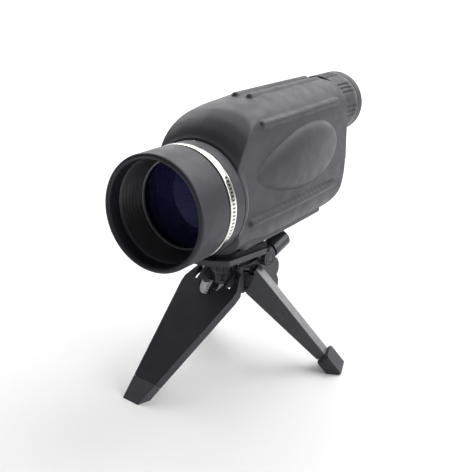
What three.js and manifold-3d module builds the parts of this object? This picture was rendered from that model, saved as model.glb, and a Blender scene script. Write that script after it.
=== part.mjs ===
// Compact 50 mm spotting scope on a folding table tripod. Millimetres, +Z up, feet on Z = 0.
// The scope looks along -Y. The tripod is turned a little about the camera screw.
import * as THREE from 'three';
import { mergeVertices } from 'three/addons/utils/BufferGeometryUtils.js';
import Module from 'manifold-3d';

const wasm = await Module();
wasm.setup();

// ---- driving dimensions ------------------------------------------------------------------
const GAP = 0.3;

// scope
const AXIS_Z = 105.5;
const EYE_Z = 135.3;
const HOOD_R = 31.5;
const HOOD_BORE = 28.3;
const HOOD_FRONT = -72;
const HOOD_REAR = -48;
const TRIM_FRONT = -46.7;
const TRIM_REAR = -41.3;
const COLLAR_REAR = -33;
const BODY_FRONT = -32.7;
const BODY_REAR = 101.5;
const BODY_BOTTOM = 74.5;
const WALL = 2.4;
const TOP_R = 21;
const TOP_X = 5.5;
const TOP_Z = 133.3;
const CORNER_R = 13.5;
const CORNER_X = 13;
const LENS_Y = -46;
const LENS_R = 25.3;
const RING_R = 19.7;
const RING_FRONT = 102;
const RING_REAR = 123.5;
const EYECUP_REAR = 131.4;

// camera screw and tripod head; head and legs are drawn about the camera screw
const SCREW_Y = -6.3;
const TRIPOD_TURN = THREE.MathUtils.degToRad(-10);
const PAD_TOP = 74.2;
const PLATE_TOP = 71;
const PLATE_THICK = 3.2;
const PLATE_HALF = 21.7;
const PLATE_R = 28.5;
const PLATE_REAR = 14.5;
const PAD_R = 24;
const TILT_Y = 19;
const TILT_Z = 62.4;
const BARREL_R = 4.8;
const CHEEK_IN = 11.7;
const CHEEK_OUT = 14;
const EAR_OUT = 18.6;
const FLOOR_Z = 44;
const SHEET = 2.4;

// locking knob: axis through its foot, pointing back and up
const KNOB = { x: 5.4, y: 33.6, z: 61.2, r: 5.7, length: 14 };
const KNOB_TILT = THREE.MathUtils.degToRad(23);

// legs: distance of the outer face from the screw at the floor, slope, and pin position
const FRONT = { foot: 74.2, slope: THREE.MathUtils.degToRad(39.1), end: 93, out: 1.6, z: 53 };
const SIDE = { foot: 69.2, slope: THREE.MathUtils.degToRad(50.3), end: 77, out: 19, z: 51.7 };
const SIDE_TURN = THREE.MathUtils.degToRad(120);
const PIN_R = 1.2;
const FOOT_LENGTH = 14;

// ---- materials ---------------------------------------------------------------------------
const material = (color, roughness, metalness = 0) =>
  new THREE.MeshStandardMaterial({ color, roughness, metalness });
const armour = material(0x3c3e44, 0.7);
const hoodBlack = material(0x303238, 0.62);
const innerBlack = material(0x1b1c20, 0.45);
const silver = material(0xd8d5cf, 0.25, 0.9);
const tripodPlastic = material(0x2a2b30, 0.55);
const legPlastic = material(0x303136, 0.6);
const rubber = material(0x3a3b3e, 0.85);
const knobPlastic = material(0x1f2024, 0.3);
const steel = material(0x9a9ca0, 0.35, 0.9);
const brass = material(0xb08a45, 0.35, 0.9);
const glass = material(0x1c2a5a, 0.05);

// ---- solids ------------------------------------------------------------------------------
function solid(geometry) {
  const bare = geometry.index ? geometry.toNonIndexed() : geometry.clone();
  bare.deleteAttribute('normal');
  bare.deleteAttribute('uv');
  const merged = mergeVertices(bare, 1e-4);
  const points = merged.attributes.position;
  const triVerts = new Uint32Array(merged.index.array);
  if (signedVolume(points, triVerts) < 0) flip(triVerts);
  return new wasm.Manifold(
    new wasm.Mesh({ numProp: 3, vertProperties: new Float32Array(points.array), triVerts }),
  );
}

function signedVolume(points, tri) {
  const corner = [new THREE.Vector3(), new THREE.Vector3(), new THREE.Vector3()];
  let sum = 0;
  for (let i = 0; i < tri.length; i += 3) {
    corner.forEach((c, k) => c.fromBufferAttribute(points, tri[i + k]));
    sum += corner[0].dot(corner[1].cross(corner[2]));
  }
  return sum;
}

function flip(tri) {
  for (let i = 0; i < tri.length; i += 3) [tri[i], tri[i + 1]] = [tri[i + 1], tri[i]];
}

function toGeometry(body) {
  const { vertProperties, triVerts, numProp } = body.getMesh();
  const position = new Float32Array((vertProperties.length / numProp) * 3);
  for (let i = 0; i < position.length / 3; i++) {
    for (let k = 0; k < 3; k++) position[3 * i + k] = vertProperties[numProp * i + k];
  }
  const geometry = new THREE.BufferGeometry();
  geometry.setAttribute('position', new THREE.BufferAttribute(position, 3));
  geometry.setIndex(new THREE.BufferAttribute(new Uint32Array(triVerts), 1));
  geometry.computeVertexNormals();
  return geometry;
}

function node(name, shape, look) {
  const mesh = new THREE.Mesh(toGeometry(shape), look);
  mesh.name = name;
  return mesh;
}

const place = (geometry, matrix) => solid(geometry.clone().applyMatrix4(matrix));
const move = (x, y, z) => new THREE.Matrix4().makeTranslation(x, y, z);
const join = (first, ...rest) => rest.reduce((sum, next) => sum.add(next), first);
const cut = (first, ...rest) => rest.reduce((sum, next) => sum.subtract(next), first);

// turned piece about Y; the profile is a list of [radius, y] that closes on itself or the axis
function turned(profile, segments = 32) {
  const closed = profile[0][0] > 0 || profile.at(-1)[0] > 0;
  const points = profile.map(([r, y]) => new THREE.Vector2(r, y));
  if (closed) points.push(points[0].clone());
  return new THREE.LatheGeometry(points, segments);
}

const tube = (outer, inner, y0, y1, segments) =>
  turned([[inner, y0], [outer, y0], [outer, y1], [inner, y1]], segments);
const rod = (r, y0, y1, segments) => turned([[0, y0], [r, y0], [r, y1], [0, y1]], segments);

const TO_X = new THREE.Matrix4().makeRotationZ(-Math.PI / 2);
const TO_Z = new THREE.Matrix4().makeRotationX(Math.PI / 2);
const about = (axis, x, y, z) => move(x, y, z).multiply(axis);

const box = (x0, x1, y0, y1, z0, z1) =>
  place(
    new THREE.BoxGeometry(x1 - x0, y1 - y0, z1 - z0),
    move((x0 + x1) / 2, (y0 + y1) / 2, (z0 + z1) / 2),
  );

// outline in the XY plane pulled up from z0 to z1
function slab(shape, z0, z1, segments = 10) {
  const geometry = new THREE.ExtrudeGeometry(shape, {
    depth: z1 - z0, bevelEnabled: false, curveSegments: segments,
  });
  return place(geometry, move(0, 0, z0));
}

const polygon = (points) => new THREE.Shape(points.map(([x, y]) => new THREE.Vector2(x, y)));

// outline of [y, z] points pulled along X from x0 to x1
const SIDE_VIEW = new THREE.Matrix4().makeBasis(
  new THREE.Vector3(0, 1, 0), new THREE.Vector3(0, 0, 1), new THREE.Vector3(1, 0, 0),
);
function sidePlate(shape, x0, x1, segments = 10) {
  const geometry = new THREE.ExtrudeGeometry(shape, {
    depth: x1 - x0, bevelEnabled: false, curveSegments: segments,
  });
  return place(geometry, move(x0, 0, 0).multiply(SIDE_VIEW));
}

// outline of [x, z] points pulled along Y from y0 to y1
const END_VIEW = new THREE.Matrix4().makeBasis(
  new THREE.Vector3(1, 0, 0), new THREE.Vector3(0, 0, 1), new THREE.Vector3(0, -1, 0),
);
function endPlate(shape, y0, y1, segments = 10) {
  const geometry = new THREE.ExtrudeGeometry(shape, {
    depth: y1 - y0, bevelEnabled: false, curveSegments: segments,
  });
  return place(geometry, move(0, y1, 0).multiply(END_VIEW));
}

// ---- housing -----------------------------------------------------------------------------
// cross-section: a broad round top and two rounded bottom corners
function sectionOutline(inset) {
  const topR = TOP_R - inset;
  const cornerR = CORNER_R - inset;
  const cornerZ = BODY_BOTTOM + CORNER_R;
  const shape = new THREE.Shape();
  shape.absarc(TOP_X, TOP_Z, topR, 0, Math.PI / 2, false);
  shape.absarc(-TOP_X, TOP_Z, topR, Math.PI / 2, Math.PI, false);
  shape.absarc(-CORNER_X, cornerZ, cornerR, Math.PI, Math.PI * 1.5, false);
  shape.absarc(CORNER_X, cornerZ, cornerR, Math.PI * 1.5, Math.PI * 2, false);
  return shape;
}

// the housing keeps its width to the middle and then narrows towards the eyepiece
function narrowed(geometry) {
  const points = geometry.attributes.position;
  for (let i = 0; i < points.count; i++) {
    const t = Math.max(0, (points.getY(i) - 15) / (BODY_REAR - 15));
    points.setX(i, points.getX(i) * (1 - 0.14 * t ** 1.4));
  }
  return geometry;
}

function housingPrism(inset) {
  const geometry = new THREE.ExtrudeGeometry(sectionOutline(inset), {
    depth: BODY_REAR + 3 - BODY_FRONT, steps: 6, bevelEnabled: false, curveSegments: 6,
  });
  return solid(narrowed(geometry.applyMatrix4(move(0, BODY_REAR + 3, 0).multiply(END_VIEW))));
}

// side outline: square front, large round corner at the rear bottom, small one at the top
function sideOutline(inset) {
  const rear = BODY_REAR - inset;
  const low = BODY_BOTTOM - 1 + inset;
  const high = TOP_Z + TOP_R + 1;
  const bigR = 29 - inset;
  const shape = new THREE.Shape();
  shape.moveTo(BODY_FRONT - 1, low);
  shape.lineTo(rear - bigR, low);
  shape.absarc(rear - bigR, low + bigR, bigR, -Math.PI / 2, 0, false);
  shape.lineTo(rear, high - 5);
  shape.absarc(rear - 5, high - 5, 5, 0, Math.PI / 2, false);
  shape.lineTo(BODY_FRONT - 1, high);
  return shape;
}

// shoulder: the flare from the round collar up to the full section
function shoulder(inset) {
  const flare = new THREE.SplineCurve([
    [31.3, BODY_FRONT], [36.8, -28.4], [42, -21.5], [46, -13], [48.6, -3], [50.4, 9], [53, 20],
  ].map(([r, y]) => new THREE.Vector2(r - inset, y + inset * 0.6)));
  const profile = flare.getPoints(7).map((p) => [p.x, p.y]);
  profile[0][1] = BODY_FRONT;
  const tail = [[64, 24], [64, BODY_REAR + 2], [0, BODY_REAR + 2]];
  return place(turned([[0, BODY_FRONT], ...profile, ...tail], 36), move(0, 0, AXIS_Z));
}

// the round front blends down onto the flatter side walls
const frontRound = () => place(turned([
  [0, BODY_FRONT], [31.3, BODY_FRONT], [31.2, -30.5], [30.2, -28], [28.2, -25.2], [25, -22],
  [0, -22],
], 36), move(0, 0, AXIS_Z));

function housingForm(inset) {
  const side = sidePlate(sideOutline(inset), -40, 40, 12);
  return housingPrism(inset).intersect(side).intersect(shoulder(inset));
}

// round-ended rib lying along Y, sunk to leave its crest proud of the wall
function rib(x, z, y0, y1) {
  const r = 2.2;
  const geometry = new THREE.CapsuleGeometry(r, y1 - y0 - 2 * r, 2, 8, 3);
  return solid(narrowed(geometry.applyMatrix4(move(x, (y0 + y1) / 2, z))));
}

// egg-shaped bulge on each side wall, over the prisms: blunt nose, broad rear
function bulge(side) {
  const geometry = new THREE.SphereGeometry(1, 20, 8);
  const points = geometry.attributes.position;
  for (let i = 0; i < points.count; i++) {
    const along = points.getX(i);
    const up = points.getY(i);
    const out = points.getZ(i);
    const rise = Math.sign(out) * Math.abs(out) ** 0.7;
    points.setXYZ(
      i,
      side * (25.2 + 5.4 * rise),
      34 + 49 * along,
      117.6 + 1.5 * along + up * (17.8 + 4.6 * along) * (1 - 0.08 * along * along),
    );
  }
  return solid(narrowed(geometry));
}

const RIBS = [
  // x, z, y from, y to
  [7, 153.8, 8, 97],
  [22.9, 142.8, -7, 89],
  [26, 92, -22, 84],
  [19.4, 77, -20, 73],
];

function housing() {
  let form = housingForm(0).add(frontRound());
  for (const side of [1, -1]) {
    form = form.add(bulge(side));
    for (const [x, z, y0, y1] of RIBS) form = form.add(rib(side * x, z, y0, y1));
  }
  const boss = place(rod(9, 75.5, 86, 24), atScrew());
  const cavity = housingForm(WALL).subtract(box(-50, 50, -60, -28, 60, 170));
  const bushHole = place(rod(5.8, 70, 88, 24), atScrew());
  const frontHole = place(rod(23.4, BODY_FRONT - 3, -20, 48), move(0, 0, AXIS_Z));
  const rearHole = place(rod(16.8, 90, 110, 40), move(0, 0, EYE_Z));
  return cut(form, cut(cavity, boss), bushHole, frontHole, rearHole);
}

function housingShells() {
  const whole = housing();
  const half = GAP / 2;
  const right = box(half, 60, -60, 120, 60, 175);
  const left = box(-60, -half, -60, 120, 60, 175);
  return [
    node('housing_right', whole.intersect(right), armour),
    node('housing_left', whole.intersect(left), armour),
  ];
}

// ---- front barrel and objective ----------------------------------------------------------
const onAxis = (geometry) => place(geometry, move(0, 0, AXIS_Z));

function hood() {
  return onAxis(turned([
    [HOOD_BORE, HOOD_FRONT + 1.2], [29.3, HOOD_FRONT + 0.2], [30.4, HOOD_FRONT],
    [31.2, HOOD_FRONT + 0.5], [HOOD_R, HOOD_FRONT + 1.6], [HOOD_R, HOOD_REAR - 0.5],
    [31, HOOD_REAR], [29.4, HOOD_REAR], [29.4, HOOD_REAR - 5], [HOOD_BORE, HOOD_REAR - 5],
  ], 40));
}

function trimRing() {
  return onAxis(turned([
    [29.6, TRIM_FRONT], [31.2, TRIM_FRONT], [HOOD_R, TRIM_FRONT + 0.4],
    [HOOD_R, TRIM_REAR - 0.4], [31.2, TRIM_REAR], [29.6, TRIM_REAR],
  ], 40));
}

function focusCollar() {
  return onAxis(turned([
    [HOOD_BORE, HOOD_REAR - 4.6], [29.1, HOOD_REAR - 4.6], [29.1, TRIM_REAR + GAP],
    [31.3, TRIM_REAR + GAP], [31.3, COLLAR_REAR - 0.6], [30.8, COLLAR_REAR],
    [HOOD_BORE, COLLAR_REAR],
  ], 40));
}

// lens cell: five light-trap ridges in front of the lens seat
function objectiveCell() {
  const front = -59;
  const rear = -33.6;
  const seat = LENS_Y + 8;
  const ridges = [];
  for (let i = 0; i < 5; i++) {
    const y = front + 0.8 + 2 * i;
    const r = 27 - 0.2 * i;
    ridges.push([r, y], [r - 0.8, y + 0.5], [r - 0.8, y + 1]);
  }
  return onAxis(turned([
    [27.3, front], [28, front], [28, rear], [24, rear], [24, seat],
    [LENS_R + GAP, seat], [LENS_R + GAP, -48.6], ...ridges.reverse(),
  ], 32));
}

const retainingRing = () => onAxis(turned([
  [24.3, -48.2], [25.3, -48.2], [25.3, -46.4], [24.6, -46.4], [24.3, -47.2],
], 32));

// round-edged lens: each face is an arc with the given rise at its centre
function lensProfile(r, front, rear, frontRise, rearRise) {
  const face = (edge, rise) => Array.from({ length: 4 }, (_, i) => {
    const t = i / 3;
    return [r * t, edge + rise * (1 - t * t)];
  });
  return [...face(front, frontRise), ...face(rear, rearRise).reverse()];
}

const crownLens = () => onAxis(turned(lensProfile(LENS_R, LENS_Y + 2.4, LENS_Y + 3.9, -2.2, 1.6), 28));
const flintLens = () => onAxis(turned(lensProfile(LENS_R, LENS_Y + 4.3, LENS_Y + 7.7, 1.6, 0.4), 28));

// ---- prisms ------------------------------------------------------------------------------
const PRISM_Y = 38.5;
const STEP = (EYE_Z - AXIS_Z) / 2;

// plate between the two prisms, with a window for each pass of the light
function prismBracket() {
  const plate = box(-17, 17, PRISM_Y - 1.2, PRISM_Y + 1.2, 80, 147);
  const windows = [[0, AXIS_Z], [STEP, AXIS_Z + STEP], [0, EYE_Z]];
  return cut(plate, ...windows.map(([x, z]) => place(rod(6, 30, 45, 20), move(x, 0, z))));
}

// porro prism: right-angled, its long face on the bracket, turned 45 degrees about Y
function porroPrism(name, direction, x, z, lean) {
  const half = 15.5;
  const shape = polygon([[-half, 0], [half, 0], [0, half]]);
  const geometry = new THREE.ExtrudeGeometry(shape, { depth: 12, bevelEnabled: false });
  geometry.translate(0, 0, -6);
  const face = PRISM_Y + direction * (1.2 + GAP);
  const turn = new THREE.Matrix4().makeRotationY(-lean);
  const flipped = new THREE.Matrix4().makeScale(1, direction, 1);
  const at = move(x, face, z).multiply(turn).multiply(flipped);
  return node(name, place(geometry, at), glass);
}

// ---- eyepiece ----------------------------------------------------------------------------
const onEye = (geometry) => place(geometry, move(0, 0, EYE_Z));

function eyepieceTube() {
  return onEye(turned([
    [12.3, 92], [16.4, 92], [16.4, 121.6], [14.8, 121.6], [14.8, 127.4], [11.6, 127.4],
    [11.6, 121], [12.3, 121],
  ], 40));
}

// zoom ring with eight groups of three grip grooves
function zoomRing() {
  const ring = onEye(turned([
    [16.8, RING_FRONT], [19.3, RING_FRONT], [RING_R, RING_FRONT + 0.5], [RING_R, RING_REAR],
    [16.8, RING_REAR],
  ], 40));
  const groove = new THREE.BoxGeometry(1.4, 13, 1.1);
  let result = ring;
  for (let group = 0; group < 8; group++) {
    for (const step of [-1, 0, 1]) {
      const angle = THREE.MathUtils.degToRad(group * 45 + 8 + step * 8.5);
      const spin = new THREE.Matrix4().makeRotationY(angle);
      const at = move(0, RING_FRONT + 8.4, EYE_Z).multiply(spin).multiply(move(RING_R, 0, 0));
      result = result.subtract(place(groove, at));
    }
  }
  return result;
}

function eyecup() {
  const front = RING_REAR + GAP;
  return onEye(turned([
    [15.1, front], [RING_R, front], [RING_R, EYECUP_REAR - 2.4], [19, EYECUP_REAR - 0.7],
    [17.4, EYECUP_REAR], [16, EYECUP_REAR - 0.6], [15.1, EYECUP_REAR - 2.6],
  ], 32));
}

const eyeLens = () => onEye(turned(lensProfile(11.2, 123, 125.6, -1.2, 0.6), 28));
const fieldLens = () => onEye(turned(lensProfile(11.9, 94.4, 96.6, -1, 0.8), 28));
const zoomCarriage = () => onEye(turned([
  [9.4, 104], [11.9, 104], [11.9, 112], [9.4, 112],
], 28));
const zoomLens = () => onEye(turned(lensProfile(9.1, 106.6, 109.4, -0.8, 0.8), 28));

// ---- tripod head -------------------------------------------------------------------------
const upright = (x, y) => move(x, y, 0).multiply(TO_Z);
const atScrew = () => upright(0, SCREW_Y);
const bush = () => place(tube(5.5, 3.5, BODY_BOTTOM + 0.4, 84, 24), atScrew());

// straight sides, round front, square rear
function plateOutline(half, radius, rear) {
  const swing = Math.acos(half / radius);
  const shape = new THREE.Shape();
  shape.absarc(0, 0, radius, Math.PI + swing, Math.PI * 2 - swing, false);
  shape.lineTo(half, rear - 2);
  shape.lineTo(half - 2, rear);
  shape.lineTo(2 - half, rear);
  shape.lineTo(-half, rear - 2);
  return shape;
}

const tiltRod = (r, x0, x1, segments = 28) =>
  place(rod(r, x0, x1, segments), about(TO_X, 0, TILT_Y, TILT_Z));

// web that comes down from the plate to the tilt bolt
function tiltWeb(x0, x1) {
  const shape = new THREE.Shape();
  shape.moveTo(8, PLATE_TOP - PLATE_THICK + 0.5);
  shape.lineTo(TILT_Y - 3.8, TILT_Z - 2.9);
  shape.absarc(TILT_Y, TILT_Z, BARREL_R, Math.PI * 1.2, Math.PI * 2.5, false);
  shape.lineTo(PLATE_REAR - 1, PLATE_TOP - 0.4);
  shape.lineTo(8, PLATE_TOP - 0.4);
  return sidePlate(shape, x0, x1, 12);
}

// ear on each side: a thin web with the round boss standing proud of it
function tiltEar(side) {
  const inner = CHEEK_OUT + GAP;
  const web = side > 0 ? tiltWeb(inner, inner + 1.8) : tiltWeb(-inner - 1.8, -inner);
  const boss = side > 0 ? [inner, EAR_OUT] : [-EAR_OUT, -inner];
  return web.add(tiltRod(BARREL_R, boss[0], boss[1], 32));
}

const KNOB_AXIS = move(KNOB.x, KNOB.y, KNOB.z)
  .multiply(new THREE.Matrix4().makeRotationX(KNOB_TILT));

function platform() {
  const plate = slab(plateOutline(PLATE_HALF, PLATE_R, PLATE_REAR), PLATE_TOP - PLATE_THICK, PLATE_TOP);
  const ears = [tiltEar(1), tiltEar(-1)];
  const knuckle = tiltWeb(-CHEEK_IN + GAP, CHEEK_IN - GAP);
  const lug = place(rod(4.6, -10.5, -GAP, 24), KNOB_AXIS);
  const holes = [
    tiltRod(2.4, -20, 20, 20),
    tiltRod(3.9, EAR_OUT - 1.3, 20, 24),
    tiltRod(3.9, -20, 1.3 - EAR_OUT, 24),
    place(rod(3.6, 60, 80, 20), TO_Z),
    place(rod(1.9, -8, 2, 16), KNOB_AXIS),
  ];
  return cut(join(plate, ...ears, knuckle, lug), ...holes);
}

function pad() {
  const outline = new THREE.Shape();
  const swing = Math.acos(20.5 / PAD_R);
  outline.absarc(0, 0, PAD_R, Math.PI + swing, Math.PI * 2 - swing, false);
  outline.lineTo(20.5, PLATE_REAR - 1);
  outline.lineTo(-20.5, PLATE_REAR - 1);
  const sheet = slab(outline, PLATE_TOP + GAP, PAD_TOP);
  return sheet.subtract(place(rod(4.4, 60, 80, 20), TO_Z));
}

const cameraScrew = () => place(turned([
  [0, 56.4], [3.1, 56.4], [3.1, 81.4], [2.3, 82.2], [0, 82.2],
], 20), TO_Z);

// thumb wheel under the plate, its rim cut like a castle wall
function thumbWheel() {
  const wheel = place(turned([
    [3.4, 56.2], [7.3, 56.2], [8.3, 57], [8.3, 61.2], [7.6, 62], [3.4, 62],
  ], 36), TO_Z);
  const notch = new THREE.BoxGeometry(1.7, 1.6, 8);
  let result = wheel;
  for (let i = 0; i < 12; i++) {
    const spin = new THREE.Matrix4().makeRotationZ((i * Math.PI) / 6);
    result = result.subtract(place(notch, spin.multiply(move(8.3, 0, 59))));
  }
  return result;
}

const tiltAxis = () => about(TO_X, 0, TILT_Y, TILT_Z);
const tiltBolt = () => place(turned([
  [0, -18], [2.1, -18], [2.1, EAR_OUT - 1], [3.6, EAR_OUT - 1], [3.6, EAR_OUT + 0.2], [0, EAR_OUT + 0.2],
], 28), tiltAxis());
const tiltNut = () => place(tube(3.6, 2.4, -EAR_OUT - 0.2, 1 - EAR_OUT, 20), tiltAxis());

const knobStud = () => place(rod(1.6, -7.6, 8.6, 16), KNOB_AXIS);

function knob() {
  const end = KNOB.length;
  return place(turned([
    [1.9, 0], [KNOB.r - 0.5, 0], [KNOB.r, 0.6], [KNOB.r, end - 1.4], [KNOB.r - 0.5, end - 0.4],
    [KNOB.r - 1.5, end], [0, end], [0, 9], [1.9, 9],
  ], 32), KNOB_AXIS);
}

// ---- hub ---------------------------------------------------------------------------------
const turnedTo = (angle) => new THREE.Matrix4().makeRotationZ(angle);
const transformed = (body, matrix) => body.transform(matrix.elements);
const pinAt = (leg, turn) => turnedTo(turn).multiply(about(TO_X, 0, -leg.out, leg.z));
const pinHole = (leg, turn, half) => place(rod(PIN_R + 0.2, -half, half, 12), pinAt(leg, turn));

// side plate of the hub: A-shaped strut in front, hinge lug on top, two round lobes behind
function cheek(x0, x1) {
  const shape = new THREE.Shape();
  shape.moveTo(4, FLOOR_Z);
  shape.lineTo(-3.5, 46);
  shape.lineTo(-1.2, 61.2);
  shape.lineTo(8, 61.2);
  shape.lineTo(TILT_Y - 4.8, TILT_Z + 0.6);
  shape.absarc(TILT_Y, TILT_Z, 4.8, Math.PI * 0.96, 0, true);
  shape.absarc(24.5, 53.5, 8, 0.7, -0.65, true);
  shape.absarc(24, 43.5, 8, 0.65, -Math.PI / 2, true);
  shape.lineTo(20, 37);
  shape.lineTo(17, FLOOR_Z);
  const strutHole = polygon([[-2.2, 47.4], [-0.4, 47.4], [-0.8, 53.6]]);
  const recess = polygon([[0.9, 59], [1.5, 46.4], [7, 46.4], [9, 59]]);
  const plate = sidePlate(shape, x0, x1, 9);
  return cut(plate, sidePlate(strutHole, x0 - 1, x1 + 1), sidePlate(recess, x0 - 1, x1 + 1));
}

// lug that reaches out between the flanges of a side leg to its pin
function sideLug(turn) {
  const shape = new THREE.Shape();
  shape.absarc(-SIDE.out, SIDE.z, 2.9, Math.PI / 2, Math.PI * 1.4, false);
  shape.lineTo(-8, FLOOR_Z + 1);
  shape.lineTo(-8, SIDE.z + 2.9);
  return transformed(sidePlate(shape, -2.5, 2.5, 8), turnedTo(turn));
}

// slots in the hub that the flanges of a side leg swing into as it folds
function foldSlots(turn) {
  const slot = (x) => place(rod(11.2, x - 1.4, x + 1.4, 24), pinAt(SIDE, turn));
  const height = box(-40, 40, -40, 40, 30, 58.5);
  return [slot(-4), slot(4)].map((disc) => disc.intersect(height));
}

function hub() {
  const parts = [
    box(-9.6, 9.6, 4.6, 14, FLOOR_Z, 54.5),
    box(-CHEEK_OUT, CHEEK_OUT, 13, 17, FLOOR_Z, 54.5),
    box(-CHEEK_OUT, CHEEK_OUT, 20, 28, 36, 38.4),
    cheek(CHEEK_IN, CHEEK_OUT),
    cheek(-CHEEK_OUT, -CHEEK_IN),
  ];
  const cuts = [pinHole(FRONT, 0, 30), tiltRod(2.4, -30, 30, 20)];
  for (const turn of [SIDE_TURN, -SIDE_TURN]) {
    parts.push(sideLug(turn));
    cuts.push(pinHole(SIDE, turn, 8), ...foldSlots(turn));
  }
  const floor = box(-CHEEK_OUT, CHEEK_OUT, 4, 17, FLOOR_Z, FLOOR_Z + 2.4);
  return cut(join(floor, ...parts), ...cuts);
}

// ---- legs --------------------------------------------------------------------------------
// a leg is drawn flat, X across and Y up from the end of its foot, then leant over
const leanOver = (leg) => move(0, -leg.foot, 0)
  .multiply(new THREE.Matrix4().makeRotationX(leg.slope));
const halfWidth = (along) => Math.min(6.1 + along * 0.19, 20.6);
const WIDE_AT = (20.6 - 6.1) / 0.19;
const ARM_FROM = 81;
const ARM_IN = 8.8;
const ARM_OUT = CHEEK_IN - GAP;

// front leg: a wide plate with a round-bottomed slot and two arms
function frontLegPlate() {
  const y0 = FOOT_LENGTH + GAP;
  const a = halfWidth(y0);
  const shape = new THREE.Shape();
  shape.moveTo(-a, y0);
  shape.lineTo(a, y0);
  shape.lineTo(20.6, WIDE_AT);
  shape.lineTo(20.6, ARM_FROM);
  shape.lineTo(ARM_OUT, ARM_FROM);
  shape.lineTo(ARM_OUT, FRONT.end);
  shape.lineTo(ARM_IN, FRONT.end);
  shape.lineTo(ARM_IN, 82);
  shape.absarc(0, 82, ARM_IN, 0, -Math.PI, true);
  shape.lineTo(-ARM_IN, FRONT.end);
  shape.lineTo(-ARM_OUT, FRONT.end);
  shape.lineTo(-ARM_OUT, ARM_FROM);
  shape.lineTo(-20.6, ARM_FROM);
  shape.lineTo(-20.6, WIDE_AT);
  return shape;
}

// flange along each slanting edge of the front leg
function frontFlange(side) {
  const y0 = FOOT_LENGTH + GAP;
  const inner = (x) => side * (x - 2);
  const edge = polygon([
    [side * halfWidth(y0), y0], [side * 20.6, WIDE_AT], [side * 20.6, ARM_FROM],
    [inner(20.6), ARM_FROM], [inner(20.6), WIDE_AT], [inner(halfWidth(y0)), y0],
  ]);
  return slab(edge, -5, -0.5);
}

// lug of each arm, round about the pin
function frontLug(side) {
  const shape = new THREE.Shape();
  shape.moveTo(80, -1);
  shape.lineTo(86.5, -5.5);
  shape.absarc(89.7, -4.7, 3.1, -Math.PI * 0.8, Math.PI * 0.1, false);
  shape.lineTo(92.6, -1);
  return sidePlate(shape, side > 0 ? ARM_IN : -ARM_OUT, side > 0 ? ARM_OUT : -ARM_IN, 6);
}

function frontLeg() {
  const parts = [frontFlange(1), frontFlange(-1), frontLug(1), frontLug(-1)];
  const leg = transformed(join(slab(frontLegPlate(), -SHEET, 0, 10), ...parts), leanOver(FRONT));
  return leg.subtract(pinHole(FRONT, 0, 30));
}

// side leg: a narrow strip with deep tapering flanges, open towards the inside
function sideLeg(turn) {
  const y0 = FOOT_LENGTH - 1;
  const strip = box(-5, 5, y0, SIDE.end, -SHEET, 0);
  const web = polygon([
    [y0, -0.5], [y0 + 0.8, -5.7], [69.6, -14.2], [72.6, -7.6], [SIDE.end, -0.5],
  ]);
  const toe = box(-5, 5, 4, y0 + 1, -3.2, -0.6);
  const parts = [toe, sidePlate(web, -5, -2.9), sidePlate(web, 2.9, 5)];
  const leg = transformed(join(strip, ...parts), leanOver(SIDE));
  return transformed(cut(leg, pinHole(SIDE, 0, 4.4)), turnedTo(turn));
}

// rubber foot of the front leg, flush with its plate
function frontFoot() {
  const shape = polygon([
    [-6.1, 0], [6.1, 0], [halfWidth(FOOT_LENGTH), FOOT_LENGTH],
    [-halfWidth(FOOT_LENGTH), FOOT_LENGTH],
  ]);
  const block = transformed(slab(shape, -5, 0), leanOver(FRONT));
  return block.subtract(box(-20, 20, -120, 0, -20, 0));
}

// rubber boot pushed over a side leg's toe, wider than the strip
function sideFoot(turn) {
  const boot = slab(polygon([
    [-8, 0], [8, 0], [8, FOOT_LENGTH - 2], [7, FOOT_LENGTH - 1], [-7, FOOT_LENGTH - 1],
    [-8, FOOT_LENGTH - 2],
  ]), -5.6, 1.8);
  const pocket = box(-5.3, 5.3, 3.7, 30, -3.5, 0.3);
  const shaped = transformed(boot.subtract(pocket), leanOver(SIDE));
  const level = shaped.subtract(box(-20, 20, -120, 0, -20, 0));
  return transformed(level, turnedTo(turn));
}

function frontPin(side) {
  const ends = [side * ARM_IN, side * CHEEK_OUT].sort((a, b) => a - b);
  return place(rod(PIN_R, ends[0], ends[1], 12), pinAt(FRONT, 0));
}

const legPin = (leg, turn, half) => place(rod(PIN_R, -half, half, 12), pinAt(leg, turn));

// ---- assembly ----------------------------------------------------------------------------
function scope() {
  const group = new THREE.Group();
  group.add(
    ...housingShells(),
    node('lens_hood', hood(), hoodBlack),
    node('trim_ring', trimRing(), silver),
    node('focus_collar', focusCollar(), armour),
    node('objective_cell', objectiveCell(), innerBlack),
    node('retaining_ring', retainingRing(), innerBlack),
    node('objective_crown', crownLens(), glass),
    node('objective_flint', flintLens(), glass),
    node('prism_bracket', prismBracket(), innerBlack),
    porroPrism('prism_rear', 1, STEP / 2, AXIS_Z + STEP / 2, Math.PI / 4),
    porroPrism('prism_front', -1, STEP / 2, EYE_Z - STEP / 2, -Math.PI / 4),
    node('eyepiece_tube', eyepieceTube(), innerBlack),
    node('zoom_ring', zoomRing(), armour),
    node('eyecup', eyecup(), rubber),
    node('eye_lens', eyeLens(), glass),
    node('field_lens', fieldLens(), glass),
    node('zoom_carriage', zoomCarriage(), innerBlack),
    node('zoom_lens', zoomLens(), glass),
    node('tripod_bush', bush(), brass),
  );
  return group;
}

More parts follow.
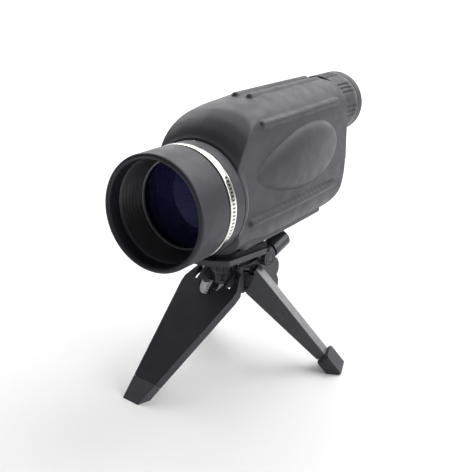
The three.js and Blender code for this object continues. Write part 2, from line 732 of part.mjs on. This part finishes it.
function tripod() {
  const group = new THREE.Group();
  group.position.y = SCREW_Y;
  group.rotation.z = TRIPOD_TURN;
  group.add(
    node('platform', platform(), tripodPlastic),
    node('platform_pad', pad(), rubber),
    node('camera_screw', cameraScrew(), steel),
    node('thumb_wheel', thumbWheel(), tripodPlastic),
    node('tilt_bolt', tiltBolt(), tripodPlastic),
    node('tilt_nut', tiltNut(), tripodPlastic),
    node('lock_stud', knobStud(), steel),
    node('lock_knob', knob(), knobPlastic),
    node('hub', hub(), tripodPlastic),
    node('leg_front', frontLeg(), legPlastic),
    node('foot_front', frontFoot(), rubber),
    node('leg_pin_front_right', frontPin(1), steel),
    node('leg_pin_front_left', frontPin(-1), steel),
  );
  for (const [word, turn] of [['right', SIDE_TURN], ['left', -SIDE_TURN]]) {
    group.add(
      node(`leg_${word}`, sideLeg(turn), legPlastic),
      node(`foot_${word}`, sideFoot(turn), rubber),
      node(`leg_pin_${word}`, legPin(SIDE, turn, 4.2), steel),
    );
  }
  return group;
}

// the origin sits under the middle of the whole object, on the surface it stands on
const telescope = new THREE.Group();
const model = new THREE.Group();
telescope.name = 'telescope_on_tripod';
model.add(scope(), tripod());
telescope.add(model);
telescope.updateMatrixWorld(true);
const middle = new THREE.Box3().setFromObject(telescope, true).getCenter(new THREE.Vector3());
model.position.set(-middle.x, -middle.y, 0);

export default telescope;
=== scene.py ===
# Looks for the spotting scope on its table tripod. Blender 4.5, metres, in the CAD model's frame.
import math

import bmesh
import bpy
import numpy as np
from mathutils import Matrix, Vector


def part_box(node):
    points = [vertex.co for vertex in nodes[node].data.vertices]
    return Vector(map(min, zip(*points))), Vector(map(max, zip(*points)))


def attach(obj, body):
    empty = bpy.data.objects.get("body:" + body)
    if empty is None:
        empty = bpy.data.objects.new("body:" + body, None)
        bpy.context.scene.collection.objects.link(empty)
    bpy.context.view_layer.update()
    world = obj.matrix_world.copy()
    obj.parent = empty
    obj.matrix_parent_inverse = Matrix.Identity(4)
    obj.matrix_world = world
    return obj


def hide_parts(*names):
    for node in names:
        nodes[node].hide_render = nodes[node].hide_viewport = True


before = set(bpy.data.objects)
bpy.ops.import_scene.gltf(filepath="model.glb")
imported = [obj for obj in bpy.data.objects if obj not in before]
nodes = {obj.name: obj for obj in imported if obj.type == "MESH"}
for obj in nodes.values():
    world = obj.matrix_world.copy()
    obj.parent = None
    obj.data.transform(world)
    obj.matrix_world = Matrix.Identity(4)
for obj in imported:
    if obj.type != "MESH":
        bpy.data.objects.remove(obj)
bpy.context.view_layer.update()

# ---- places read from the frame, kept as millimetres in the scope's own frame -------------
hood_low, hood_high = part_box("lens_hood")
ring_low, ring_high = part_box("zoom_ring")
screw_low, screw_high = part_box("camera_screw")
AXIS_X = (hood_low[0] + hood_high[0]) / 2
AXIS_Z = (hood_low[2] + hood_high[2]) / 2 * 1000
EYE_Z = (ring_low[2] + ring_high[2]) / 2 * 1000
HOOD_FRONT = -72.0
ORIGIN_Y = hood_low[1] - HOOD_FRONT / 1000
SCREW_Y = ((screw_low[1] + screw_high[1]) / 2 - ORIGIN_Y) * 1000
TRIPOD_TURN = math.radians(-10)
KNOB = (5.4, 33.6, 61.2)
KNOB_TILT = math.radians(23)
TILT_BOLT = (19, 62.4)
FRONT_LEG_SLOPE = math.radians(39.1)
FRONT_LEG_TOE = -74.2
CAMERA_AZIMUTH, CAMERA_ELEVATION = math.radians(32.9), math.radians(18.0)


def row(x, y, z):
    """Scope millimetres to row metres."""
    return Vector((AXIS_X + x / 1000, ORIGIN_Y + y / 1000, z / 1000))


def tripod_row(x, y, z):
    """Tripod millimetres (about the camera screw) to row metres."""
    c, s = math.cos(TRIPOD_TURN), math.sin(TRIPOD_TURN)
    return row(x * c - y * s, x * s + y * c + SCREW_Y, z)


# ---- materials ----------------------------------------------------------------------------
class Look:
    """A principled material with helpers for procedural detail in object space."""

    def __init__(self, name, color, rough, metal=0.0):
        self.mat = bpy.data.materials.new(name)
        self.mat.use_nodes = True
        self.tree = self.mat.node_tree
        self.bsdf = self.tree.nodes["Principled BSDF"]
        self.bsdf.inputs["Metallic"].default_value = metal
        self.base = color
        self.rough = rough
        self.coords = self.tree.nodes.new("ShaderNodeTexCoord").outputs["Object"]
        self.normal = None

    def link(self, a, b):
        self.tree.links.new(a, b)

    def noise(self, scale, detail=3.0, stretch=None, rough=0.5):
        n = self.tree.nodes.new("ShaderNodeTexNoise")
        n.inputs["Scale"].default_value = scale
        n.inputs["Detail"].default_value = detail
        n.inputs["Roughness"].default_value = rough
        source = self.coords
        if stretch:
            m = self.tree.nodes.new("ShaderNodeMapping")
            m.inputs["Scale"].default_value = stretch
            self.link(source, m.inputs["Vector"])
            source = m.outputs["Vector"]
        self.link(source, n.inputs["Vector"])
        return n.outputs["Fac"]

    def ranged(self, fac, low, high, start=0.3, end=0.7):
        r = self.tree.nodes.new("ShaderNodeMapRange")
        r.inputs["From Min"].default_value = start
        r.inputs["From Max"].default_value = end
        r.inputs["To Min"].default_value = low
        r.inputs["To Max"].default_value = high
        self.link(fac, r.inputs["Value"])
        return r.outputs["Result"]

    def math(self, op, a, b):
        m = self.tree.nodes.new("ShaderNodeMath")
        m.operation = op
        for socket, value in zip(m.inputs, (a, b)):
            if isinstance(value, (int, float)):
                socket.default_value = value
            else:
                self.link(value, socket)
        return m.outputs["Value"]

    def color(self, fac, other):
        """Base colour drifting to another along fac."""
        mix = self.tree.nodes.new("ShaderNodeMix")
        mix.data_type = "RGBA"
        mix.inputs["A"].default_value = (*self.base, 1)
        mix.inputs["B"].default_value = (*other, 1)
        self.link(fac, mix.inputs["Factor"])
        self.link(mix.outputs["Result"], self.bsdf.inputs["Base Color"])

    def roughness(self, fac, spread):
        value = self.ranged(fac, self.rough - spread, self.rough + spread)
        self.link(value, self.bsdf.inputs["Roughness"])

    def bump(self, fac, strength, distance):
        b = self.tree.nodes.new("ShaderNodeBump")
        b.inputs["Strength"].default_value = strength
        b.inputs["Distance"].default_value = distance
        self.link(fac, b.inputs["Height"])
        if self.normal:
            self.link(self.normal, b.inputs["Normal"])
        self.normal = b.outputs["Normal"]
        self.link(self.normal, self.bsdf.inputs["Normal"])


def convex_edge_mask(look):
    """Brighter convex edges, from the pointiness of the mesh: rubbed wear on most moulded parts, a
    painted highlight on the keeper ring and on the cell's ridge crests.
    """
    g = look.tree.nodes.new("ShaderNodeNewGeometry")
    return look.ranged(g.outputs["Pointiness"], 0.0, 1.0, 0.52, 0.62)


def moulded(name, color, rough, grain=2600, depth=0.00004, strength=0.5, spread=0.07, edge_lightening=0.35):
    """Moulded plastic or rubber: fine spark grain, cloudy handling marks, lighter edges."""
    look = Look(name, color, rough)
    cloud = look.noise(38, 4)
    lighter = tuple(min(1, c * 1.55 + 0.012) for c in color)
    # Edges lightened by the convex-edge mask: rubbed wear on most parts, a painted highlight on the
    # keeper ring.
    lightened_edges = look.math("MULTIPLY", convex_edge_mask(look), edge_lightening)
    look.color(look.math("ADD", look.math("MULTIPLY", look.ranged(cloud, 0, 1), 0.12), lightened_edges), lighter)
    look.roughness(look.noise(120, 5), spread)
    look.bump(look.noise(grain, 2), strength, depth)
    look.bump(look.noise(60, 2), 0.08, 0.0004)
    return look


def lens_glass(name, tint):
    """Blue-violet coated glass over a dark interior."""
    look = Look(name, tint, 0.02)
    look.color(look.ranged(look.noise(40, 2), 0, 1), tuple(c * 0.8 for c in tint))
    look.bsdf.inputs["Transmission Weight"].default_value = 0.93
    look.bsdf.inputs["IOR"].default_value = 1.38
    look.bsdf.inputs["Specular Tint"].default_value = (0.3, 0.3, 0.8, 1)
    look.roughness(look.noise(300, 3), 0.01)
    return look


def brushed(name, color, rough, stretch=(1, 60, 1)):
    look = Look(name, color, rough, metal=1.0)
    streak = look.noise(900, 3, stretch=stretch)
    look.color(look.ranged(streak, 0, 0.5), tuple(c * 0.72 for c in color))
    look.roughness(look.noise(150, 4), 0.08)
    look.bump(streak, 0.15, 0.00002)
    return look


armour = moulded("armour", (0.024, 0.024, 0.033), 0.52, edge_lightening=0.4)
hood_look = moulded("hood_satin", (0.018, 0.018, 0.026), 0.5, grain=3400, strength=0.3, edge_lightening=0.1)
inner_look = moulded("inner_black", (0.010, 0.010, 0.014), 0.36, strength=0.2, edge_lightening=0.2)
grip = moulded("grip_rubber", (0.025, 0.025, 0.031), 0.56, edge_lightening=0.25)
# The platform pad is black rubber, made near-black as painted shade from the scope hanging over it.
pad_shade_look = moulded("pad_rubber_painted_shade", (0.0015, 0.0015, 0.003), 0.9, grain=1500, strength=0.8)
boot_look = moulded("boot_rubber", (0.026, 0.026, 0.032), 0.74, grain=1900, strength=0.7)
foot_look = moulded("foot_rubber", (0.045, 0.045, 0.053), 0.7, grain=1900, strength=0.7)
tripod_look = moulded("tripod_plastic", (0.026, 0.026, 0.033), 0.36, strength=0.25, edge_lightening=0.15)
# The legs are one plastic. The front leg gets a darker copy as painted shade, since it faces away from
# the light. The side legs get a lighter copy as painted light on their lit upper strips.
front_leg_shaded_look = moulded("front_leg_plastic_painted_shade", (0.021, 0.021, 0.029), 0.36, strength=0.3, edge_lightening=0.15)
side_leg_lit_look = moulded("side_leg_plastic_painted_light", (0.034, 0.035, 0.042), 0.3, strength=0.3, edge_lightening=0.15)
knob_look = moulded("knob_gloss", (0.02, 0.022, 0.03), 0.16, strength=0.08, spread=0.04, edge_lightening=0.1)
steel_look = brushed("steel", (0.55, 0.55, 0.57), 0.3)
brass_look = brushed("brass", (0.66, 0.46, 0.2), 0.3)
glass_look = lens_glass("coated_glass", (0.24, 0.24, 0.5))
mark_look = moulded("index_paint", (0.62, 0.62, 0.64), 0.5, edge_lightening=0.0)


def ticked_silver():
    """Bright ring with a generic engraved scale of short dark strokes round its middle."""
    look = Look("ticked_silver", (0.80, 0.78, 0.75), 0.22, metal=1.0)
    sep = look.tree.nodes.new("ShaderNodeSeparateXYZ")
    look.link(look.coords, sep.inputs["Vector"])
    dx = look.math("SUBTRACT", sep.outputs["X"], AXIS_X)
    dz = look.math("SUBTRACT", sep.outputs["Z"], AXIS_Z / 1000)
    turn = look.math("MULTIPLY", look.math("ARCTAN2", dx, dz), 96 / math.tau)
    stroke = look.math("LESS_THAN", look.math("FRACT", turn, 0), 0.5)
    along = look.math("SUBTRACT", sep.outputs["Y"], ORIGIN_Y - 0.0440)
    band = look.math("LESS_THAN", look.math("ABSOLUTE", along, 0), 0.00115)
    side = look.math("GREATER_THAN", look.math("ARCTAN2", dx, dz), 0.95)
    ink = look.math("MULTIPLY", look.math("MULTIPLY", stroke, band), side)
    look.color(look.math("MULTIPLY", ink, 0.9), (0.03, 0.03, 0.035))
    look.roughness(look.noise(240, 4), 0.06)
    look.bump(look.noise(1500, 2, stretch=(1, 30, 1)), 0.12, 0.00002)
    return look


silver_look = ticked_silver()


# ---- mesh helpers -------------------------------------------------------------------------
def mesh_object(name, verts, faces, look, smooth=True, angle=None):
    mesh = bpy.data.meshes.new(name)
    mesh.from_pydata([tuple(v) for v in verts], [], [tuple(f) for f in faces])
    mesh.validate()
    obj = bpy.data.objects.new(name, mesh)
    bpy.context.collection.objects.link(obj)
    mesh.materials.append(look.mat)
    work = bmesh.new()
    work.from_mesh(mesh)
    bmesh.ops.recalc_face_normals(work, faces=work.faces)
    if angle is not None:
        for e in work.edges:
            if len(e.link_faces) == 2 and e.calc_face_angle(0) > angle:
                e.smooth = False
    for f in work.faces:
        f.smooth = smooth
    work.to_mesh(mesh)
    work.free()
    return obj


def finish_piece(obj, body, replaces=()):
    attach(obj, body)
    if replaces:
        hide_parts(*replaces)
    return obj


def lathe(name, profile, look, place, steps=128, radius=None, angle=math.radians(32)):
    """Turned piece about Y. profile: closed list of (radius, y); place maps (x, y, z) mm to row."""
    verts, faces = [], []
    n = len(profile)
    for i in range(steps):
        t = math.tau * i / steps
        for r, y in profile:
            rr = r if radius is None else radius(r, y, t)
            verts.append(place(rr * math.sin(t), y, rr * math.cos(t)))
    for i in range(steps):
        j = (i + 1) % steps
        for k in range(n):
            m = (k + 1) % n
            faces.append((i * n + k, i * n + m, j * n + m, j * n + k))
    obj = mesh_object(name, verts, faces, look, angle=angle)
    work = bmesh.new()
    work.from_mesh(obj.data)
    bmesh.ops.remove_doubles(work, verts=work.verts, dist=1e-7)
    bmesh.ops.recalc_face_normals(work, faces=work.faces)
    work.to_mesh(obj.data)
    work.free()
    return obj


def arc(cx, cy, r, a0, a1, n=6):
    """Points (radius, y) on a profile arc; angles in degrees from +radius towards +y."""
    return [
        (cx + r * math.cos(math.radians(a0 + (a1 - a0) * i / n)),
         cy + r * math.sin(math.radians(a0 + (a1 - a0) * i / n)))
        for i in range(n + 1)
    ]


def on_objective(x, y, z):
    return row(x, y, AXIS_Z + z)


def on_eyepiece(x, y, z):
    return row(x, y, EYE_Z + z)


# ---- housing ------------------------------------------------------------------------------
BODY_FRONT, BODY_REAR = -32.7, 101.5
FLARE = np.array([
    [BODY_FRONT, 31.3], [-28.4, 36.8], [-21.5, 42], [-13, 46], [-3, 48.6], [9, 50.4], [20, 53],
    [24, 64], [BODY_REAR + 3, 64],
])
FLARE_Y = np.linspace(BODY_FRONT, BODY_REAR + 3, 600)
BLUR = np.exp(-(np.arange(-24, 25) / 11.0) ** 2)
FLARE_R = np.convolve(
    np.pad(np.interp(FLARE_Y, FLARE[:, 0], FLARE[:, 1]), 24, mode="edge"),
    BLUR / BLUR.sum(), mode="valid")
RIBS = [(4.8, 153.4, 11, 95), (23.8, 142.8, -7, 89), (26.3, 92, -22, 84), (19.6, 76.8, -20, 73)]


def narrowing(y):
    t = np.clip((y - 15) / (BODY_REAR - 15), 0, 1)
    return 1 - 0.14 * t ** 1.4


def smooth_max(a, b, k):
    h = np.clip(0.5 - 0.5 * (b - a) / k, 0, 1)
    return b * (1 - h) + a * h + k * h * (1 - h)


def smooth_min(a, b, k):
    return -smooth_max(-a, -b, k)


def section(x, z):
    ax = np.abs(x)
    top = np.hypot(np.maximum(ax - 5.5, 0), z - 133.3) - 21
    low = np.hypot(np.maximum(ax - 13, 0), z - 88) - 13.5
    return np.where(z > 133.3, top, np.where(z < 88, low, ax - 26.5))


def side_limit(y, z):
    """Distance past the rear wall and its rounded corners, seen from the side."""
    low_corner = np.hypot(np.maximum(y - (BODY_REAR - 29), 0), np.minimum(z - 103.5, 0)) - 29
    low = np.where((y > BODY_REAR - 29) & (z < 103.5), low_corner, -50)
    top_corner = np.hypot(np.maximum(y - (BODY_REAR - 5), 0), np.maximum(z - 149.3, 0)) - 5
    top = np.where((y > BODY_REAR - 5) & (z > 149.3), top_corner, -50)
    return np.maximum(low, top)


def housing_distance(x, y, z):
    k = narrowing(y)
    xs = x / k
    body = smooth_max(section(xs, z), side_limit(y, z), 1.5)
    flare = (np.hypot(x, z - AXIS_Z) - np.interp(y, FLARE_Y, FLARE_R)) * 0.8
    crease = 0.35 + 4.8 * np.clip((z - 143) / 10, 0, 1)
    body = smooth_max(body, flare, crease)
    front = np.hypot(x, z - AXIS_Z) - np.interp(
        y, [BODY_FRONT, -30.5, -28, -25.2, -22, -18], [31.3, 31.2, 30.2, 28.2, 25, 10])
    body = smooth_min(body, front, 1.2)
    for rx, rz, y0, y1 in RIBS:
        run = np.clip(y, y0 + 2.2, y1 - 2.2)
        rib = np.sqrt((np.abs(xs) - rx) ** 2 + (z - rz) ** 2 + (y - run) ** 2) - 2.5
        body = smooth_min(body, rib, 0.45)
    along = np.clip((y - 34) / 49, -1, 1)
    up = (z - 117.6 - 1.5 * along) / ((17.8 + 4.6 * along) * (1 - 0.08 * along ** 2))
    inside = np.clip(1 - ((y - 34) / 49) ** 2 - up ** 2, 0, 1)
    crest = 25.6 + 6.6 * inside ** (0.48 - 0.18 * along)
    bulge = np.where(inside > 0, (np.abs(xs) - crest) * 0.8, 5.0)
    return smooth_min(body, bulge, 0.3)


def housing_skin():
    """Rings of points along the body; each point is found by halving along its own ray."""
    around = 560
    ys = np.concatenate([
        np.linspace(BODY_FRONT, 90, 236), np.linspace(90.4, BODY_REAR - 0.05, 30),
    ])
    t = np.linspace(0, math.tau, around, endpoint=False)
    yy, tt = np.meshgrid(ys, t, indexing="ij")
    mid = np.interp(yy, [BODY_FRONT, 0, 70, BODY_REAR], [AXIS_Z, 112, 118, 130])
    start_z = mid + np.where(np.cos(tt) > 0, 12, 21) * np.cos(tt)
    low, high = np.zeros_like(yy), np.full_like(yy, 70.0)
    for _ in range(26):
        half = (low + high) / 2
        d = housing_distance(half * np.sin(tt), yy, start_z + half * np.cos(tt))
        low = np.where(d < 0, half, low)
        high = np.where(d < 0, high, half)
    x, z = low * np.sin(tt), start_z + low * np.cos(tt)
    # fine mould line down the middle of the shoulder and belly
    seam = np.exp(-(x / 0.16) ** 2) * 0.10
    z = z - seam * np.sign(z - mid)
    verts = [row(x[i, j], ys[i], z[i, j]) for i in range(len(ys)) for j in range(around)]
    faces = []
    for i in range(len(ys) - 1):
        for j in range(around):
            k = (j + 1) % around
            faces.append((i * around + j, i * around + k, (i + 1) * around + k, (i + 1) * around + j))
    last = (len(ys) - 1) * around
    # flat end wall drawn in towards the eyepiece, then a front wall under the collar
    for share in (0.985, 0.75, 0.5):
        start = len(verts)
        for j in range(around):
            p = verts[last + j]
            c = row(0, 0, EYE_Z)
            verts.append(Vector((
                c.x + (p.x - c.x) * share, row(0, BODY_REAR, 0).y, c.z + (p.z - c.z) * share)))
        prev = last if share == 0.985 else start - around
        for j in range(around):
            k = (j + 1) % around
            faces.append((prev + j, prev + k, start + k, start + j))
    start = len(verts)
    for j in range(around):
        p = verts[j]
        c = row(0, 0, AXIS_Z)
        verts.append(Vector((c.x + (p.x - c.x) * 0.85, p.y, c.z + (p.z - c.z) * 0.85)))
    for j in range(around):
        k = (j + 1) % around
        faces.append((start + j, start + k, k, j))
    obj = mesh_object("housing_skin", verts, faces, armour)
    return finish_piece(obj, "scope", ("housing_right", "housing_left"))


housing_skin()

# ---- front barrel -------------------------------------------------------------------------
hood = lathe("hood_shell", [
    (28.3, -53), (28.3, -70.4), *arc(29.9, -70.4, 1.6, 180, 360, 10), (31.5, -48.7),
    *arc(31.0, -48.5, 0.5, 0, 90, 3), (29.4, -48), (29.4, -53),
], hood_look, on_objective, 192)
finish_piece(hood, "focus_barrel", ("lens_hood",))

trim = lathe("trim_band", [
    (29.6, -46.7), (31.1, -46.7), *arc(31.1, -46.3, 0.4, -90, 0, 3),
    *arc(31.1, -41.7, 0.4, 0, 90, 3), (29.6, -41.3),
], silver_look, on_objective, 192)
finish_piece(trim, "focus_barrel", ("trim_ring",))

collar = lathe("collar_band", [
    (28.3, -52.6), (29.1, -52.6), (29.1, -41), (31.0, -41), (31.3, -40.7), (31.3, -33.5),
    *arc(30.8, -33.5, 0.5, 0, 90, 3), (28.3, -33),
], armour, on_objective, 192)
finish_piece(collar, "focus_barrel", ("focus_collar",))

ridges = []
for i in range(6):
    y = -63.4 + 2.4 * i
    r = 28.0 - 0.3 * i
    ridges += [(r, y), (r - 0.9, y + 1.1), (r - 0.9, y + 1.3), (r, y + 2.2)]
cell_look = moulded("cell_black", (0.004, 0.004, 0.008), 0.42, strength=0.2, edge_lightening=0.2)
# Painted highlight: the ridge crests are mixed towards blue-grey by the convex-edge mask, for the thin
# bright lines of light along the ridges.
cell_look.color(convex_edge_mask(cell_look), (0.14, 0.14, 0.18))
cell = lathe("cell_ridges", [
    (28.2, -63.6), (28.2, -33.6), (24, -33.6), (24, -38), (25.6, -38), (25.6, -48.4),
    *reversed(ridges),
], cell_look, on_objective, 160, angle=math.radians(30))
finish_piece(cell, "focus_barrel", ("objective_cell",))

# Painted highlight: the keeper ring is light grey and its edges lighter still, for the thin bright arc
# round the lens edge.
keeper_highlight_look = moulded("keeper_ring_painted_highlight", (0.16, 0.16, 0.18), 0.2, strength=0.1, edge_lightening=0.8)
keeper = lathe("keeper_ring", [
    (24.3, -48.3), (25.0, -48.5), (25.4, -48.3), (25.4, -46.6), (24.6, -46.6),
], keeper_highlight_look, on_objective, 160)
finish_piece(keeper, "focus_barrel", ("retaining_ring",))


def lens(name, r, y0, y1, front, rear, look, place, body, node):
    n = 14
    face = [(r * i / n, y0 + front * (1 - (i / n) ** 2)) for i in range(1, n + 1)]
    back = [(r * i / n, y1 + rear * (1 - (i / n) ** 2)) for i in range(n, 0, -1)]
    profile = [(0.0001, y0 + front), *face, *back, (0.0001, y1 + rear)]
    obj = lathe(name, profile, look, place, 96)
    return finish_piece(obj, body, (node,))


lens("front_lens", 25.3, -43.6, -42.1, -2.2, 1.5, glass_look, on_objective,
     "focus_barrel", "objective_crown")
lens("rear_eye_lens", 11.2, 123, 125.6, -1.2, 0.6, glass_look, on_eyepiece, "scope", "eye_lens")

dot = lathe("index_dot", [(0.0001, -0.1), (0.55, -0.1), (0.55, 0.06), (0.0001, 0.12)], mark_look,
            lambda x, y, z: row(x, -34.6 + z, AXIS_Z + 31.25 + y), 24)
finish_piece(dot, "focus_barrel")

# ---- eyepiece -----------------------------------------------------------------------------


def grooved(r, y, t):
    """Eight groups of three short grooves round the ring."""
    if r < 19 or y < 103.5 or y > 118.5:
        return r
    depth = min(1, (y - 103.5) / 0.8, (118.5 - y) / 0.8)
    degrees = (math.degrees(t) - 98) % 45
    near = min(abs(((degrees - k + 22.5) % 45) - 22.5) for k in (-8.5, 0, 8.5))
    cut = 1 / (1 + math.exp((near - 2.0) / 0.25))
    return r - 0.75 * depth * cut


zoom_profile = [(16.8, 102), (19.2, 102), *arc(19.2, 102.5, 0.5, -90, 0, 3), (19.7, 103.5)]
zoom_profile += [(19.7, 103.5 + 15 * i / 24) for i in range(1, 25)]
zoom_profile += [(19.7, 123.2), (19.4, 123.5), (16.8, 123.5)]
zoom = lathe("zoom_grip", zoom_profile, grip, on_eyepiece, 720, radius=grooved, angle=math.radians(50))
finish_piece(zoom, "zoom_ring", ("zoom_ring",))

cup = lathe("eyecup_shell", [
    (15.1, 123.8), (19.4, 123.8), (19.7, 124.1), (19.7, 128.4), *arc(17.3, 128.6, 2.4, 10, 90, 7),
    *arc(17.3, 129.6, 1.4, 90, 170, 5), (15.3, 128.6), (15.1, 128),
], grip, on_eyepiece, 128)
finish_piece(cup, "scope", ("eyecup",))

tube = lathe("eyepiece_barrel", [
    (12.3, 92), (16.4, 92), (16.4, 121.6), (14.8, 121.6), (14.8, 127.1), (14.5, 127.4),
    (11.9, 127.4), (11.6, 127.1), (11.6, 121), (12.3, 121),
], inner_look, on_eyepiece, 96)
finish_piece(tube, "scope", ("eyepiece_tube",))

# ---- tripod head: turned pieces made smooth -----------------------------------------------
def on_knob(x, y, z):
    c, s = math.cos(KNOB_TILT), math.sin(KNOB_TILT)
    return tripod_row(KNOB[0] + x, KNOB[1] + y * c - z * s, KNOB[2] + y * s + z * c)


knob = lathe("knob_body", [
    (1.9, 0), (5.2, 0), *arc(5.2, 0.5, 0.5, -90, 0, 3), (5.7, 12.6), *arc(4.5, 12.6, 1.2, 0, 80, 5),
    (3.6, 13.95), (0.0001, 14), (0.0001, 9), (1.9, 9),
], knob_look, on_knob, 64)
finish_piece(knob, "lock_knob", ("lock_knob",))


def on_tilt(x, y, z):
    return tripod_row(y, TILT_BOLT[0] + x, TILT_BOLT[1] + z)


bolt = lathe("tilt_bolt_head", [
    (0.0001, -18), (2.1, -18), (2.1, 17.6), (3.6, 17.6), (3.6, 18.6), (3.45, 18.75), (2.6, 18.75),
    (2.5, 18.3), (2.2, 18.3), (2.1, 18.7), (0.0001, 18.7),
], tripod_look, on_tilt, 64)
finish_piece(bolt, "platform", ("tilt_bolt",))


def castle(r, y, t):
    """Twelve notches in the wheel's rim."""
    if r < 7.2:
        return r
    near = abs((math.degrees(t) % 30) - 15)
    return r - 0.9 / (1 + math.exp((near - 5.5) / 0.4))


def on_wheel(x, y, z):
    return tripod_row(x, z, y)


wheel = lathe("wheel_rim", [
    (3.4, 56.2), (7.2, 56.2), *arc(7.4, 57.1, 0.9, -80, 0, 4), (8.3, 61.2),
    *arc(7.5, 61.2, 0.8, 0, 90, 4),
    (3.4, 62),
], tripod_look, on_wheel, 240, radius=castle)
finish_piece(wheel, "wheel", ("thumb_wheel",))

# ---- thin webs of the front leg and the platform, beside the CAD's plates -------------------
def soften(obj, width):
    bevel = obj.modifiers.new("soft_edges", "BEVEL")
    bevel.width = width / 1000
    bevel.segments = 3
    bevel.limit_method = "ANGLE"
    bevel.angle_limit = math.radians(35)
    bevel.harden_normals = True


def prism(name, outline, low, high, look, place):
    """Flat plate with the given outline, from level low to level high."""
    n = len(outline)
    verts = [place(a, b, c) for c in (low, high) for a, b in outline]
    faces = [tuple(range(n)), tuple(range(n, 2 * n))]
    faces += [(i, (i + 1) % n, n + (i + 1) % n, n + i) for i in range(n)]
    obj = mesh_object(name, verts, faces, look, angle=math.radians(32))
    soften(obj, 0.3)
    return obj


def on_front_leg(x, along, up):
    c, s = math.cos(FRONT_LEG_SLOPE), math.sin(FRONT_LEG_SLOPE)
    return tripod_row(x, FRONT_LEG_TOE + along * c - up * s, along * s + up * c)


for word, side in (("right", 1), ("left", -1)):
    wing = prism("leg_wing_" + word, [(side * x, y) for x, y in (
        (14.5, 80.4), (20.55, 80.4), (20.55, 81), (15.4, 92.6), (14.5, 92.6))],
        -2.38, 0.01, front_leg_shaded_look, on_front_leg)
    finish_piece(wing, "front_leg")
    edge = prism("leg_wing_edge_" + word, [(side * x, y) for x, y in (
        (18.6, 80.4), (20.55, 80.4), (20.55, 81), (16.6, 90), (15, 90))],
        -4.98, -2.0, front_leg_shaded_look, on_front_leg)
    finish_piece(edge, "front_leg")
    rib = prism("plate_rib_" + word, [(0.5, 63), (3, 59.6), (11, 59), (11, 68), (-1, 68)],
                side * 9.6, side * 11.3, tripod_look, lambda a, b, c: tripod_row(c, a, b))
    finish_piece(rib, "platform")

# ---- CAD nodes that stay: their own looks and slightly rounded edges ----------------------
KEPT = {
    "hub": tripod_look, "platform": tripod_look, "platform_pad": pad_shade_look,
    "leg_front": front_leg_shaded_look, "leg_right": side_leg_lit_look, "leg_left": side_leg_lit_look,
    "foot_front": foot_look, "foot_right": boot_look, "foot_left": boot_look,
    "tilt_nut": tripod_look, "camera_screw": steel_look, "lock_stud": steel_look,
    "leg_pin_front_right": tripod_look, "leg_pin_front_left": tripod_look,
    "leg_pin_right": tripod_look, "leg_pin_left": tripod_look,
    "tripod_bush": brass_look, "prism_bracket": inner_look, "zoom_carriage": inner_look,
    "objective_flint": glass_look, "prism_rear": glass_look, "prism_front": glass_look,
    "field_lens": glass_look, "zoom_lens": glass_look,
}
ROUNDED = {
    "hub": 0.35, "platform": 0.5, "platform_pad": 0.4, "leg_front": 0.5, "leg_right": 0.45,
    "leg_left": 0.45, "foot_front": 0.5, "foot_right": 1.0, "foot_left": 1.0,
}
for name, look in KEPT.items():
    obj = nodes[name]
    obj.data.materials.clear()
    obj.data.materials.append(look.mat)
    if name in ROUNDED:
        soften(obj, ROUNDED[name])


# ---- studio -------------------------------------------------------------------------------
def studio():
    size = 1.6
    verts, faces = [], []
    profile = [(-size, 0), (0.55, 0)]
    profile += [
        (0.55 + 0.45 * math.sin(a), 0.45 - 0.45 * math.cos(a))
        for a in np.linspace(0.1, math.pi / 2, 14)
    ]
    profile += [(1.0, 2.0)]
    turn = Matrix.Rotation(CAMERA_AZIMUTH, 3, "Z")
    for side in (-2.2, 2.2):
        for y, z in profile:
            verts.append(turn @ Vector((side, y, z - 0.00002)))
    n = len(profile)
    for i in range(n - 1):
        faces.append((i, i + 1, n + i + 1, n + i))
    look = Look("paper", (0.9, 0.9, 0.9), 0.85)
    look.color(look.ranged(look.noise(3, 3), 0, 1), (0.93, 0.93, 0.925))
    look.bump(look.noise(900, 2), 0.05, 0.00003)
    floor = mesh_object("studio_floor", verts, faces, look)


def area(name, where, aim, size, power, color=(1, 1, 1)):
    light = bpy.data.lights.new(name, "AREA")
    light.shape = "RECTANGLE"
    light.size, light.size_y = size
    light.energy = power
    light.color = color
    obj = bpy.data.objects.new(name, light)
    obj.location = where
    obj.rotation_euler = (Vector(aim) - Vector(where)).to_track_quat("-Z", "Y").to_euler()
    bpy.context.collection.objects.link(obj)


studio()
centre = (0, 0, 0.09)
area("top_soft", (0.28, 0.62, 0.95), centre, (1.1, 0.9), 10.0)
area("right_soft", (0.95, 0.10, 0.45), centre, (0.7, 0.8), 6.0)
area("left_rim", (-0.75, 0.55, 0.7), centre, (0.6, 0.6), 2.5)
area("rear_gloss", (0.02, 1.2, 0.3), centre, (0.5, 0.4), 3.5)
area("backdrop_wash", (-0.35, 0.45, 1.1), (-0.55, 1.0, 0.3), (1.2, 0.6), 8.0)

world = bpy.data.worlds.new("world")
world.use_nodes = True
world.node_tree.nodes["Background"].inputs["Color"].default_value = (1.0, 1.0, 1.0, 1)
world.node_tree.nodes["Background"].inputs["Strength"].default_value = 0.17
bpy.context.scene.world = world
bpy.context.scene.view_settings.view_transform = "Standard"

camera_data = bpy.data.cameras.new("camera")
camera_data.sensor_width = 36
camera_data.lens = 68.22
camera_data.clip_start = 0.01
camera = bpy.data.objects.new("camera", camera_data)
camera.location = row(270.18, -411.47, 234.59)
camera.rotation_euler = (math.pi / 2 - CAMERA_ELEVATION, 0, CAMERA_AZIMUTH)
bpy.context.collection.objects.link(camera)
bpy.context.scene.camera = camera
